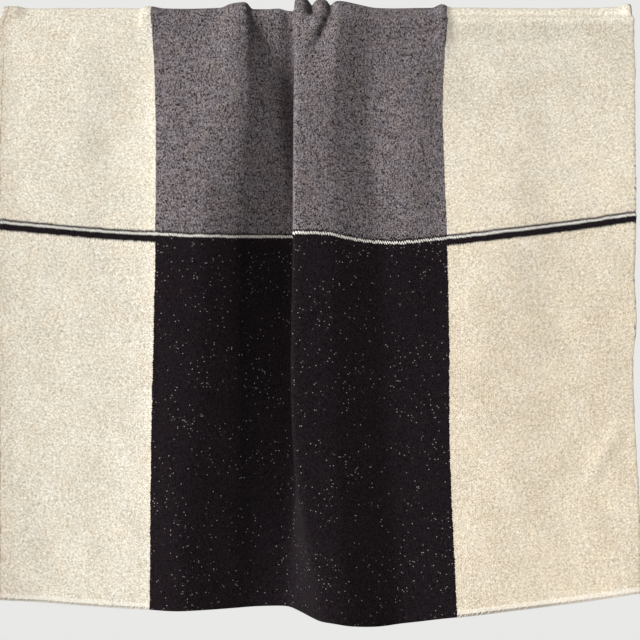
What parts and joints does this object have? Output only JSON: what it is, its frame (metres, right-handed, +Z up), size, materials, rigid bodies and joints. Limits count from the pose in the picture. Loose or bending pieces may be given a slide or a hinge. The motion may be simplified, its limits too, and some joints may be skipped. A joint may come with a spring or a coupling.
{
  "type": "throw blanket",
  "caption": "Chunky knitted throw blanket, folded over an unseen rail, hanging in deep uneven folds with colour blocks, a stripe band and a rolled hem.",
  "frame": {"origin": "on the top of the rail that the throw hangs over, under the fold, at the middle of the width", "axes": "+X to the right of somebody facing the front leg, -Y towards them, +Z up"},
  "size_m": [1.2003, 0.1707, 1.1827],
  "materials": {
    "knit": "matte chunky double-faced knit; cream, grey and near-black blocks in the visual model"
  },
  "bodies": {
    "root": {"throw": "knit"}
  },
  "joints": []
}
